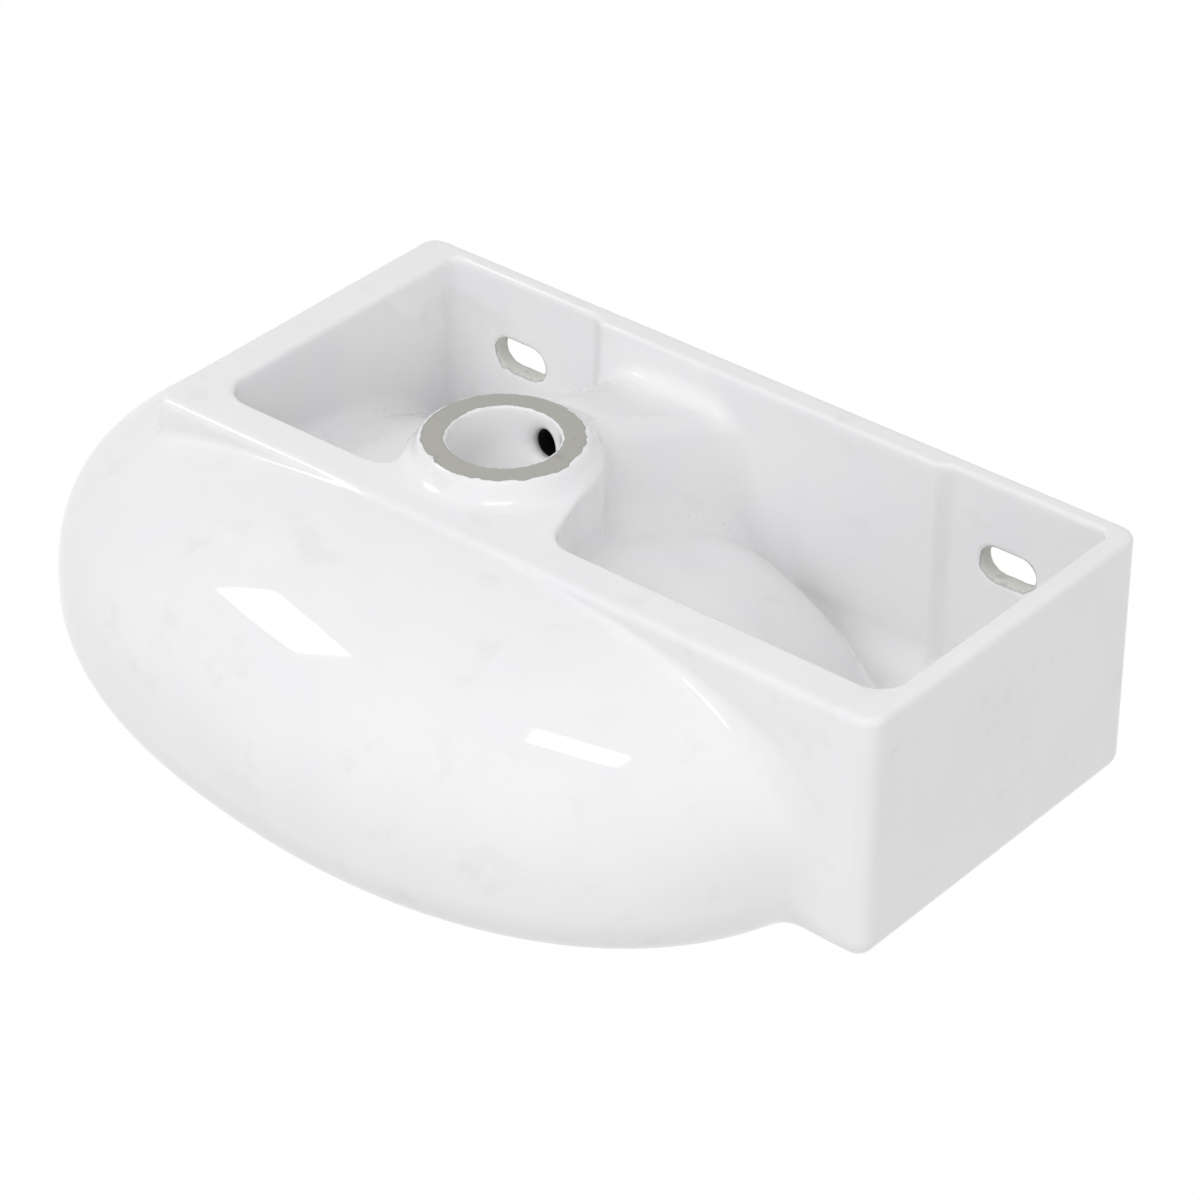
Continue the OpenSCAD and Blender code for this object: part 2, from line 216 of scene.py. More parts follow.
def duct_form(x, y, z):
    """Bar whose underside falls from the wall to the boss, as the soft maximum of a slope and a level,
    (a + b + sqrt((a - b)^2 + bend^2)) / 2. Its two flanks draw in towards the boss."""
    along = (DUCT_Y - y) / DUCT_LENGTH
    line = DUCT_Z + math.tan(FALL) * (y - DUCT_Y)
    end = SEAT_Z + DUCT_END
    under = (line + end + np.sqrt((line - end) ** 2 + DUCT_BEND**2)) / 2
    below = (under - z) * math.cos(FALL)
    rise = z - under
    tap_side = DUCT_TAP_X + DUCT_TAP_IN * along - DUCT_TAP_SLANT * rise - x
    bowl_side = x - DUCT_BOWL_X + DUCT_BOWL_IN * along - DUCT_BOWL_SLANT * rise
    bar = round_max(tap_side / math.hypot(1, DUCT_TAP_SLANT), below, DUCT_TAP_R)
    bar = round_max(bar, bowl_side / math.hypot(1, DUCT_BOWL_SLANT), DUCT_BOWL_R)
    return np.maximum(np.maximum(bar, z - DECK_Z - DUCT_TOP), np.maximum(WASTE[1] - y, y + DUCT_WALL))


print("the duct is", DUCT_BOWL_X - DUCT_TAP_X, "mm wide at the wall")

# %% [markdown]
# The water that rises too high leaves through a hole in the bowl's back, falls down a shaft in the
# wall and runs at a slant through the duct into the waste's bore. The hole in the bowl has a seat for
# the trim ring. The wall bolts pass through two slots. Each of these is a distance to a cylinder or a
# rounded slot, to be cut from the body later, so that each mouth gets its own soft edge.

# %% Holes and passages
BORE_R = 22.5
WAY_Z, WAY_R, SHAFT_Y, SHAFT_Z, SHAFT_R = -39.0, 6.0, -21.0, -8.0, 5.0
INLET_Y, INLET_Z, INLET_TILT, INLET_R = -29.62, 49.0, math.radians(11.0), 11.0
RING_R, RING_SLEEVE, RING_GAP, SLEEVE_GAP = 15.5, 7.0, 0.5, 1
SLOT_X, SLOT_HALF, SLOT_R, SLOT_REACH = 125.0, 5.75, 7.25, 30.0


def overflow_way(x, y, z):
    """Round passages: a hole behind the ring, a shaft down, and a sloping way into the waste's bore."""
    across = x - WASTE[0]
    slope = (z - WAY_Z) * math.cos(FALL) - (y - WASTE[1]) * math.sin(FALL)
    way = np.maximum(np.hypot(across, slope) - WAY_R, np.maximum(y - SHAFT_Y - SHAFT_R, WASTE[1] - y))
    shaft = np.hypot(across, y - SHAFT_Y) - SHAFT_R
    shaft = np.maximum(shaft, np.maximum(z - INLET_Z, SHAFT_Z - z))
    inlet = np.hypot(across, z - INLET_Z) - SHAFT_R
    inlet = np.maximum(inlet, np.maximum(y - SHAFT_Y, INLET_Y - y))
    return np.minimum(way, np.minimum(shaft, inlet))


def ring_seat(x, y, z):
    """Bore for the ring's sleeve and a flat seat for its flange, square to the bowl's leaning wall."""
    c, s = math.cos(INLET_TILT), math.sin(INLET_TILT)
    out = (INLET_Y - y) * c + (z - INLET_Z) * s
    side = np.hypot(x - WASTE[0], (y - INLET_Y) * s + (z - INLET_Z) * c)
    bore = np.maximum(side - INLET_R, -out - RING_SLEEVE - SLEEVE_GAP)
    return np.minimum(bore, np.maximum(side - RING_R - RING_GAP, -out))


def wall_slots(x, y, z, margin=0.0):
    """Two level slots with round ends, through the back wall, wider all round by the margin."""
    slot = np.hypot(np.maximum(np.abs(np.abs(x) - SLOT_X) - SLOT_HALF, 0), z) - SLOT_R - margin
    return np.maximum(slot, -SLOT_REACH - y)


print("the slots are", 2 * SLOT_X, "mm apart and", 2 * (SLOT_HALF + SLOT_R), "mm long")

# %% [markdown]
# Now the forms are put together in the order in which a potter would: skin, space inside, bowl's
# underside, boss and duct, then the cuts. Where the bowl's underside or the duct comes close to the
# outer skin, its fillet shrinks to nothing, so that it doesn't swell the skin.

# %% The body and its cuts
FOOT_EDGE_R, SEAT_R, SEAT_MARGIN = 2.2, 32.6, 0.8
UNDER_HALF, UNDER_Z, UNDER_POWER, UNDER_FILLET = (190.0, 129.0), -5.0, 2.4, 9.0
DUCT_FILLET, NECK_FILLET, NECK_TOP, NO_FILLET = 10.0, 5.0, 10.0, 0.01
UNDER_INSET, SKIN_CLEAR, DECK_CLEAR = 1, 2, 3
BOWL_HALF, BOWL_Z, BOWL_POWER, BOWL_LEAN = (168.0, 102.0), 6.0, 2.8, (2.93, 14.24)
SINK_Z, SINK_H, SINK_FLARE = 1.0, 12.0, 2.1
TAP, TAP_R, TAP_Z = (-132.0, -52.0), 17.5, 50.0
LIP_R, SINK_EDGE, SEAT_EDGE, BORE_EDGE = 6.0, 4.0, 1.5, 1.2
RING_EDGE, TAP_EDGE, SLOT_EDGE = 0.8, 1.5, 2.0
MOUTH_EDGE, MOUTH_EDGE_GROWTH, MOUTH_DEPTH, MOUTH_CHANGE = 2.0, 3.0, 10.0, 8.0


def joined_body(x, y, z, skin, box, space, under, duct):
    """Skin less the space inside, joined to the bowl's underside, the duct and the neck of the boss. The
    neck is a cone that widens from the waste's seat to the skirt's foot."""
    body = round_max(skin, -space, FOOT_EDGE_R)
    under_fillet = np.clip(-skin - SKIN_CLEAR, NO_FILLET, UNDER_FILLET)
    body = round_min(body, np.maximum(under, skin + UNDER_INSET), under_fillet)
    duct_fillet = np.clip(np.minimum(-box - SKIN_CLEAR, DECK_Z + DECK_CLEAR - z), NO_FILLET, DUCT_FILLET)
    body = round_min(body, duct, duct_fillet)
    flare = (ROOT_R - SEAT_R - SEAT_MARGIN) / (FOOT_Z - SEAT_Z)
    neck = from_waste(x, y) - SEAT_R - SEAT_MARGIN - flare * np.minimum(z - SEAT_Z, FOOT_Z - SEAT_Z)
    return round_min(body, np.maximum(neck, z - NECK_TOP), NECK_FILLET)


def cut_body(body, x, y, z):
    """Body less the seat's plane, the bowl, the waste's recess and bore, the overflow, the ring's seat,
    the tap hole and the wall slots, each with its own rounded edge."""
    axis = from_waste(x, y)
    body = round_max(body, SEAT_Z - z, SEAT_EDGE)
    bowl = dome(x, y, z, BOWL_HALF, RIM_Z, BOWL_Z, BOWL_POWER, BOWL_LEAN)
    body = round_max(body, -bowl, LIP_R)
    sink = (axis - BORE_R - SINK_FLARE * (z - SINK_Z)) / math.hypot(1, SINK_FLARE)
    body = round_max(body, -np.maximum(sink, np.maximum(SINK_Z - z, z - SINK_Z - SINK_H)), SINK_EDGE)
    body = round_max(body, BORE_R - axis, BORE_EDGE)
    near_bore = ease((WASTE[1] + BORE_R + MOUTH_DEPTH - y) / MOUTH_CHANGE)
    body = round_max(body, -overflow_way(x, y, z), MOUTH_EDGE + MOUTH_EDGE_GROWTH * near_bore)
    body = round_max(body, -ring_seat(x, y, z), RING_EDGE)
    tap = np.maximum(np.hypot(x - TAP[0], y - TAP[1]) - TAP_R, TAP_Z - z)
    body = round_max(body, -tap, TAP_EDGE)
    return round_max(body, -wall_slots(x, y, z), SLOT_EDGE)


print("the bowl is", RIM_Z - BOWL_Z, "mm deep beside the waste's recess")

# %% [markdown]
# The front of the basin is a hollow casting, and the clay between it and the bowl is left out. Then
# each point is given to one casting, so that every CAD node gets its own closed piece, and no two
# pieces share a place. The seams run where the castings are stuck together: under the deck, round the
# boss, round the duct and just in front of the skirt.

# %% The hollow apron and the castings
CASTINGS = ("bowl", "waste_boss", "overflow_duct", "apron", "skirt")
APRON_T, APRON_SEAT = 10.0, 8.0
DECK_T, SKIRT_SEAM, UNDER_SEAM, WALL_SEAM = 6.0, 1.5, 2, 3.5
BOSS_SEAM_R, BOSS_SEAM_H, WEB_SEAM_X, WEB_SEAM_HALF = 46.0, 4.0, 30.0, 78.0
DUCT_SEAM, DUCT_WALL_SEAM = 5, 2.0


def casting_shares(x, y, z, box, under, duct, back):
    """One distance for each casting's share of space, in the order of CASTINGS. The skirt has the rest."""
    axis = from_waste(x, y)
    above = np.minimum(DECK_Z - DECK_T - z, np.maximum(ROLL_Z - z, SKIRT_SEAM - box))
    in_bowl = np.minimum(above, np.maximum(under - UNDER_SEAM, y + back + WALL_SEAM))
    inside = rounded_rect(x, y, SPACE_X, SPACE_Y, SPACE_CORNERS[0])
    web = np.maximum(y - WASTE[1], np.abs(x - WEB_SEAM_X) - WEB_SEAM_HALF)
    in_boss = np.maximum(inside, np.minimum(axis - BOSS_SEAM_R, web))
    in_boss = np.minimum(in_boss, np.maximum(axis - BOSS_SEAM_R, z - FOOT_Z - BOSS_SEAM_H))
    in_duct = np.maximum(duct - DUCT_SEAM, y + back + DUCT_WALL_SEAM)
    in_apron = np.maximum(SKIRT_SEAM - box, z - ROLL_Z)
    return in_bowl, in_boss, in_duct, in_apron


def china_fields(x, y, z):
    """Distance to the whole china body, and the castings' shares of space."""
    skin, box = outer_skin(x, y, z)
    space, back = skirt_space(x, y, z)
    under = dome(x, y, z, UNDER_HALF, RIM_Z, UNDER_Z, UNDER_POWER)
    duct = duct_form(x, y, z)
    body = cut_body(joined_body(x, y, z, skin, box, space, under, duct), x, y, z)
    inner = tuple(half - APRON_T for half in OVAL_HALF)
    hollow = dome(x, y, z, inner, ROLL_Z - APRON_SEAT, FOOT_Z + APRON_T, APRON_POWER)
    hollow = np.maximum(np.maximum(hollow, z - ROLL_Z + APRON_SEAT), np.maximum(-under, -box))
    return np.maximum(body, -hollow), casting_shares(x, y, z, box, under, duct, back)


print("castings:", ", ".join(CASTINGS))

# %% [markdown]
# ## From the field to a mesh
# The field is sampled on a grid, and each grid point gets a label: 0 in the air, or the number of its
# casting. A cell of the grid whose corners have different labels gets one point, and each grid edge
# whose ends differ gets one face between the four cells round it. This is a surface net. It is always
# closed, its faces are nearly square, and two castings share the points of their seam, so no gap can
# open between them. A step of 1.9 mm gives each piece fewer than 200,000 triangles. The grid reaches a
# little farther to the front than the oval's half axis, because the oval is turned.

# %% Sample the field
STEP, SPARE_STEPS, TURNED_OUT = 1.9, 3, 6.0
low = np.array([-HALF_W, OVAL_MID[1] - OVAL_HALF[1] - TURNED_OUT, SEAT_Z]) - SPARE_STEPS * STEP
high = np.array([OVAL_MID[0] + OVAL_HALF[0], 0.0, RIM_Z]) + SPARE_STEPS * STEP
ticks = [np.arange(low[k], high[k], STEP, dtype=np.float32) for k in range(3)]
grid_body, grid_shares = china_fields(*np.meshgrid(*ticks, indexing="ij", sparse=True))
labels = np.full(grid_body.shape, len(CASTINGS), np.int8)
for number in reversed(range(len(grid_shares))):
    labels[np.broadcast_to(grid_shares[number], labels.shape) < 0] = number + 1
labels[grid_body >= 0] = 0
print("grid", labels.shape, "points in each casting:", np.bincount(labels.ravel())[1:])


# %% Surface net
def surface_net(labels):
    """One point for each cell with mixed labels, at the mean middle of its mixed edges. One face for each
    mixed edge, with the labels behind and before it. Points come in steps of the grid."""
    cells = tuple(k - 1 for k in labels.shape)
    count = np.zeros(cells, np.float32)
    total = np.zeros((3,) + cells, np.float32)
    mixed = []
    for axis in range(3):
        one, two = (axis + 1) % 3, (axis + 2) % 3
        start, end = [slice(None)] * 3, [slice(None)] * 3
        start[axis], end[axis] = slice(0, -1), slice(1, None)
        first, second = labels[tuple(start)], labels[tuple(end)]
        hit = first != second
        for i in (0, 1):
            for j in (0, 1):
                place = [slice(None)] * 3
                place[one] = slice(i, hit.shape[one] - 1 + i)
                place[two] = slice(j, hit.shape[two] - 1 + j)
                here = hit[tuple(place)]
                count += here
                total[axis] += 0.5 * here
                total[one] += i * here
                total[two] += j * here
        mixed.append((one, two, hit, first[hit], second[hit]))
    used = count > 0
    index = np.zeros(cells, np.int64)
    index[used] = np.arange(int(used.sum()))
    cell = np.stack(np.nonzero(used), 1)
    points = cell + (total[:, used] / count[used]).T
    faces, sides = [], []
    for one, two, hit, first, second in mixed:
        where = np.stack(np.nonzero(hit), 1)
        corners = []
        for i, j in ((1, 1), (0, 1), (0, 0), (1, 0)):
            at = where.copy()
            at[:, one] -= i
            at[:, two] -= j
            corners.append(index[tuple(at.T)])
        faces.append(np.stack(corners, 1))
        sides.append(np.stack([first, second], 1))
    return cell, points, np.concatenate(faces), np.concatenate(sides)


cell, net_points, net_faces, net_sides = surface_net(labels)
print("net of", len(net_points), "points and", len(net_faces), "faces")

# %% [markdown]
# The points still lie in steps of the grid. Newton's method moves each one down the field's slope
# until it lies on the clay's surface, and a point inside the clay onto its seam. Four rounds do it, and
# no round moves a point by more than 0.6 of a step. In the end the slope is the exact normal, so the
# glaze will reflect without ripples.

# %% Which surface each point belongs to
corner_labels = np.stack([
    labels[cell[:, 0] + i, cell[:, 1] + j, cell[:, 2] + k]
    for i in (0, 1) for j in (0, 1) for k in (0, 1)], 1)
in_air = (corner_labels == 0).any(1)
seam_number = np.minimum(corner_labels.min(1), len(CASTINGS) - 1) - 1
print(int(in_air.sum()), "points on the surface and", int((~in_air).sum()), "on the seams")


# %% Move the points onto their surfaces
def distance(p):
    """Distance to the body for a point in the air, and to the seam of its first casting for the others."""
    body, shares = china_fields(p[:, 0], p[:, 1], p[:, 2])
    shares = np.stack([share + 0 * body for share in shares])
    return np.where(in_air, body, shares[seam_number, np.arange(len(p))])


def slope(points, reach=0.04):
    """Gradient of the distance, from the differences over reach on each side."""
    steps = [np.eye(3)[k] * reach for k in range(3)]
    return np.stack([distance(points + d) - distance(points - d) for d in steps], 1) / (2 * reach)


ROUNDS, LONGEST_MOVE = 4, 0.6
points = net_points * STEP + low
for _ in range(ROUNDS):
    g = slope(points)
    move = -g * (distance(points) / np.maximum((g * g).sum(1), 1e-6))[:, None]
    length = np.linalg.norm(move, axis=1)
    points = points + move * np.minimum(1, LONGEST_MOVE * STEP / np.maximum(length, 1e-9))[:, None]
print("farthest from the surface:", round(float(np.abs(distance(points)[in_air]).max()), 3), "mm")
normals = slope(points)
normals /= np.maximum(np.linalg.norm(normals, axis=1), 1e-9)[:, None]

# %% [markdown]
# The glaze leaves two places bare, and the overflow's passages are too deep for light, so shade is
# painted in them. Each point of the mesh will carry its distance to both, and the material reads them there.

# %% Bare clay and painted shade in the passages
BARE_SEAT_IN, BARE_BORE_OUT, BARE_SEAT_H, BARE_SLOT_OUT = 0.2, 0.9, 1.0, 0.8
# Painted shade in the passages starts a millimetre in from their walls and 5 mm behind the bore's wall.
PAINTED_SHADE_OUT, PAINTED_SHADE_DEPTH = 1.0, 5.0


def bare_clay(x, y, z):
    """Distance to the places that the glaze leaves bare: the waste's flat seat and the walls of the slots.
    It rises four times as fast at the bore, whose edge is cut clean, so that noise moves it less."""
    r = from_waste(x, y)
    seat = np.maximum(r - SEAT_R + BARE_SEAT_IN, 4 * (BORE_R + BARE_BORE_OUT - r))
    return np.minimum(np.maximum(seat, z - SEAT_Z - BARE_SEAT_H), wall_slots(x, y, z, BARE_SLOT_OUT))


def painted_passage_shade(x, y, z):
    """Distance to where shade is painted: the overflow's passages less a millimetre, from 5 mm behind the
    bore's wall inwards.
    """
    return np.maximum(overflow_way(x, y, z) - PAINTED_SHADE_OUT, WASTE[1] + BORE_R + PAINTED_SHADE_DEPTH - y)


print("points on bare clay:", int((bare_clay(*points[in_air].T) < 0).sum()))

# %% [markdown]
# Each casting is its own closed piece. Its outside takes the body's normals, also along a seam, so two
# castings meet without a step, as they do after the firing. The faces inside a seam stay flat.


# %% Make the castings
def add_mesh(name, points, faces):
    """Puts points, in metres, and faces into a new mesh object at the origin."""
    mesh = bpy.data.meshes.new(name)
    mesh.from_pydata(points, [], faces)
    mesh.shade_smooth()
    obj = bpy.data.objects.new(name, mesh)
    bpy.context.collection.objects.link(obj)
    return obj


def make_casting(number):
    """The faces with this casting's label on one side, turned so that they look away from it."""
    behind, before = net_sides[:, 0] == number, net_sides[:, 1] == number
    faces = np.concatenate([net_faces[behind], net_faces[before][:, ::-1]])
    outside = np.concatenate([net_sides[behind, 1], net_sides[before, 0]]) == 0
    used, faces_here = np.unique(faces, return_inverse=True)
    faces_here = faces_here.reshape(-1, 4)
    place = points[used]
    diagonal = place[faces_here]
    flat = np.cross(diagonal[:, 2] - diagonal[:, 0], diagonal[:, 3] - diagonal[:, 1])
    flat /= np.maximum(np.linalg.norm(flat, axis=1), 1e-9)[:, None]
    corners = np.where(outside[:, None, None], normals[faces], flat[:, None, :])
    obj = add_mesh("china_" + CASTINGS[number - 1], (place * MM).tolist(), faces_here.tolist())
    obj.data.normals_split_custom_set(corners.reshape(-1, 3).tolist())
    # The second attribute says where shade is painted in the overflow's passages.
    for name, formula in (("bare_clay", bare_clay), ("painted_passage_shade", painted_passage_shade)):
        values = formula(*place.T).astype(np.float32)
        obj.data.attributes.new(name, "FLOAT", "POINT").data.foreach_set("value", values)
    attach(obj, "root")
    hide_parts(CASTINGS[number - 1])
    print(obj.name, "has", len(used), "points and", 2 * len(faces), "triangles")
    return obj


castings = [make_casting(number + 1) for number in range(len(CASTINGS))]

# %% [markdown]
# ## The overflow's ring
# The ring is turned brass with bright chrome plate. A turned piece is a profile carried round an axis,
# so it is one grid of points: the profile's points along one way, and the angles along the other. The
# profile is a sleeve that sits in the bore, and a domed flange with a rolled inner lip.


# %% Turned pieces
def turned(profile, count):
    """Points (r cos a, r sin a, h) for every profile point (r, h) and angle a, with faces that close up."""
    profile = np.array(profile)
    angle = np.arange(count) * 2 * math.pi / count
    r, h = profile[:, 0][:, None], profile[:, 1][:, None]
    points = np.stack([r * np.cos(angle), r * np.sin(angle), h + 0 * angle], 2).reshape(-1, 3)
    i, j = np.meshgrid(np.arange(len(profile)), np.arange(count), indexing="ij")
    i2, j2 = (i + 1) % len(profile), (j + 1) % count
    faces = np.stack([i * count + j, i * count + j2, i2 * count + j2, i2 * count + j], 2)
    return points, faces.reshape(-1, 4)


print("a square turned in 96 steps has", len(turned([(2, 0), (2, 1), (1, 1), (1, 0)], 96)[1]), "faces")

# %% Chrome ring
RING_STEPS, ARC_POINTS = 96, 9
RING_FLANGE, RING_WALL, RING_CLEARANCE = 2.0, 1.5, 0.3
RING_LIP, FLANGE_EDGE, CHAMFER = 0.8, 0.35, 0.2


def ring_profile():
    """Closed section: a sleeve with chamfered edges, a flange whose top is a quarter ellipse, and a lip
    whose edge is a quarter circle."""
    outer, inner = INLET_R - RING_CLEARANCE, INLET_R - RING_CLEARANCE - RING_WALL
    turn = np.linspace(0, math.pi / 2, ARC_POINTS)
    dome_r = inner + RING_LIP + (RING_R - inner - RING_LIP) * np.sin(turn[::-1])
    dome_h = FLANGE_EDGE + (RING_FLANGE - FLANGE_EDGE) * np.cos(turn[::-1])
    lip_r = inner + RING_LIP - RING_LIP * np.sin(turn[1:])
    lip_h = RING_FLANGE - RING_LIP + RING_LIP * np.cos(turn[1:])
    profile = [(outer, -RING_SLEEVE + CHAMFER), (outer, -CHAMFER), (outer + CHAMFER, 0.0)]
    profile += [(RING_R - RING_CLEARANCE, 0.0)] + list(zip(dome_r, dome_h)) + list(zip(lip_r, lip_h))
    profile += [(inner, -RING_SLEEVE + CHAMFER), (inner + CHAMFER, -RING_SLEEVE)]
    return profile + [(outer - CHAMFER, -RING_SLEEVE)]


ring_points, ring_faces = turned(ring_profile(), RING_STEPS)
c, s = math.cos(INLET_TILT), math.sin(INLET_TILT)
to_wall = np.array([[1, 0, 0], [0, s, c], [0, -c, s]])
ring_points = ring_points @ to_wall + np.array([WASTE[0], INLET_Y, INLET_Z])
ring = add_mesh("chrome_ring", (ring_points * MM).tolist(), ring_faces.tolist())
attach(ring, "root")
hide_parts("overflow_ring")
print("ring of", len(ring_faces), "faces")

# %% [markdown]
# ## Materials
# Colours are written as the sRGB hex values that a picture editor shows. Blender works in linear
# light, so one function turns them round. Another adds a node with its settings and its links, and
# everything that a material needs is written with it.


# %% Material helpers
def linear(code):
    """sRGB hex to linear RGBA: v/12.92 below 0.04045, and ((v + 0.055)/1.055)^2.4 above it."""
    rgb = [int(code[i:i + 2], 16) / 255 for i in (1, 3, 5)]
    return [v / 12.92 if v <= 0.04045 else ((v + 0.055) / 1.055) ** 2.4 for v in rgb] + [1.0]


def node(tree, kind, inputs=(), **settings):
    """Adds a node. Settings go on the node. Inputs are a list in the order of the sockets, or a dict by
    socket. Each is a value, another node's output, or a node, which stands for its first output."""
    made = tree.nodes.new("ShaderNode" + kind)
    for key, value in settings.items():
        setattr(made, key, value)
    pairs = inputs.items() if isinstance(inputs, dict) else enumerate(inputs)
    for key, value in pairs:
        if isinstance(value, bpy.types.Node):
            value = value.outputs[0]
        if isinstance(value, bpy.types.NodeSocket):
            tree.links.new(value, made.inputs[key])
        else:
            made.inputs[key].default_value = value
    return made


def new_material(name):
    """Empty material and its node tree, with the object's coordinates in millimetres."""
    material = bpy.data.materials.new(name)
    material.use_nodes = True
    tree = material.node_tree
    tree.nodes.clear()
    metres = node(tree, "TexCoord").outputs["Object"]
    return material, tree, node(tree, "VectorMath", [metres, (1 / MM, 1 / MM, 1 / MM)], operation="MULTIPLY")


print("the linear value of #808080 is", round(linear("#808080")[0], 3))

# %% [markdown]
# Vitreous china is dipped or sprayed with a white tin or zircon glaze and fired at about 1200 degrees.
# The glaze melts into a skin 0.5 mm thick. It gives the eye crisp reflections that waver a little,
# because the skin ran while it was soft. Where the maker wipes it off, or cuts the clay afterwards, the
# body stays bare: flat grey on the waste's seat, which stands on the kiln's shelf, and cream in the
# slots. The edge of the glaze is ragged there.
#
# Five noises carry this, each with the size of its blots in millimetres: the waves of the glaze, its
# peel, the grain of the bare clay, the blots of faint smudges and the ragged edge. Real grain is finer
# than a tenth of a millimetre, too fine to show, so it is drawn at 0.7 mm. The edge of the glaze wanders
# by up to 1.2 mm to each side.

# %% Where the china is glazed, bare or painted with shade
EDGE_WANDER, EDGE_SOFT = 1.2, 0.10
china, tree, mm = new_material("glazed vitreous china")
waves, peel, grain, blots, ragged = [
    node(tree, "TexNoise", {"Vector": mm, "Scale": 1 / size, "Detail": detail, "Roughness": rough})
    for size, detail, rough in (
        (38.0, 2.0, 0.5), (1.6, 2.0, 0.5), (0.7, 4.0, 0.7), (24.0, 5.0, 0.6), (7.0, 4.0, 0.6))]
to_bare, to_painted_passage_shade = [
    node(tree, "Attribute", attribute_name=name).outputs["Fac"] for name in ("bare_clay", "painted_passage_shade")]
shift = node(tree, "MapRange", [ragged, 0.2, 0.8, -EDGE_WANDER, EDGE_WANDER])
edge = node(tree, "Math", [to_bare, shift], operation="ADD")
bare = node(tree, "MapRange", [edge, EDGE_SOFT, -EDGE_SOFT])
# Painted shade: near black deep in the overflow's passages, where little light reaches.
painted_shade = node(tree, "MapRange", [to_painted_passage_shade, 0.5, -0.5])
inner_fade = node(tree, "MapRange", [edge, -0.5, 0.0])
outer_fade = node(tree, "MapRange", [edge, 0.35, 0.05])
rim_line = node(tree, "Math", [inner_fade, outer_fade], operation="MULTIPLY")
patch = node(tree, "MapRange", [blots, 0.58, 0.70])
speckle = node(tree, "MapRange", [grain, 0.35, 0.60, 0.4, 1.0])
smudge = node(tree, "Math", [patch, speckle], operation="MULTIPLY")
print("nodes that say where:", len(tree.nodes))

# %% [markdown]
# The colour is laid on in layers, each over the one before: the glaze in two whites, faint smudges of
# dust, the clay, grey on the seat and cream at the wall, its grain, the thin grey line where the glaze
# ends, and painted shade, near black, deep in the passages.

# %% The china's colour
SEAT_CLAY, SLOT_CLAY = linear("#BAB9B3"), linear("#E5E4DF")
two_whites = node(tree, "MapRange", [waves, 0.35, 0.65])
at_wall = node(tree, "MapRange", [node(tree, "SeparateXYZ", [mm]).outputs["Y"], -60.0, -50.0])
clay = node(tree, "Mix", {0: at_wall, 6: SEAT_CLAY, 7: SLOT_CLAY}, data_type="RGBA").outputs[2]
clay_grain = node(tree, "MapRange", [grain, 0.3, 0.7, 0.0, 0.16])
clay = node(tree, "Mix", {0: clay_grain, 6: clay, 7: linear("#8E8B84")}, data_type="RGBA").outputs[2]
faint_smudge = node(tree, "Math", [smudge, 0.35], operation="MULTIPLY")
faint_line = node(tree, "Math", [rim_line, 0.45], operation="MULTIPLY")
color = linear("#F7F7F9")
# The last layer is painted shade, near black, in the passages.
for share, layer in ((two_whites, linear("#F9F9F9")), (faint_smudge, linear("#E4E4E1")), (bare, clay),
                     (faint_line, linear("#88868A")), (painted_shade, linear("#141312"))):
    color = node(tree, "Mix", {0: share, 6: color, 7: layer}, data_type="RGBA").outputs[2]
print("layers of colour:", sum(made.bl_idname == "ShaderNodeMix" for made in tree.nodes))

# %% [markdown]
# The glaze has a roughness of 0.045 to 0.075, a little more where there is dust, and bare clay and the
# passages' painted shade are matt.
# The height is in millimetres: waves of a tenth, a peel of about a thousandth, clay that lies a quarter
# below the glaze, and its grain. A real glaze's relief could be modelled in the mesh, but it is far
# finer than the faces, so bump carries it.

# %% The china's gloss and relief
WAVE_H, PEEL_H, GRAIN_H, GLAZE_T, MATT = 0.10, 0.0012, 0.08, 0.25, 0.78
gloss = node(tree, "MapRange", [blots, 0.3, 0.7, 0.045, 0.075])
dust = node(tree, "Math", [smudge, 0.03], operation="MULTIPLY")
shine = node(tree, "Math", [gloss, dust], operation="ADD")
matt = node(tree, "Math", [bare, painted_shade], operation="MAXIMUM")
matt = node(tree, "Math", [matt, MATT], operation="MULTIPLY")
roughness = node(tree, "Math", [shine, matt], operation="ADD")
peel_height = node(tree, "Math", [peel, PEEL_H], operation="MULTIPLY")
height = node(tree, "Math", [waves, WAVE_H, peel_height], operation="MULTIPLY_ADD")
height = node(tree, "Math", [bare, -GLAZE_T, height], operation="MULTIPLY_ADD")
bare_grain = node(tree, "Math", [grain, bare], operation="MULTIPLY")
bare_grain = node(tree, "Math", [bare_grain, GRAIN_H], operation="MULTIPLY")
height = node(tree, "Math", [height, bare_grain], operation="ADD")
bump = node(tree, "Bump", {"Height": height, "Distance": MM})
glaze = node(tree, "BsdfPrincipled", {
    "Base Color": color, "Roughness": roughness, "IOR": 1.52, "Normal": bump})
node(tree, "OutputMaterial", {"Surface": glaze})
for casting in castings:
    casting.data.materials.append(china)
print("china's nodes:", len(tree.nodes))

# %% [markdown]
# The ring is pressed and turned from brass, polished, then plated with nickel and a thin skin of
# chrome. Polishing leaves it bright with a cool grey tint. Dried drops about 2.4 mm across leave faint
# dull spots, and the cloth leaves faint streaks 1 mm long.

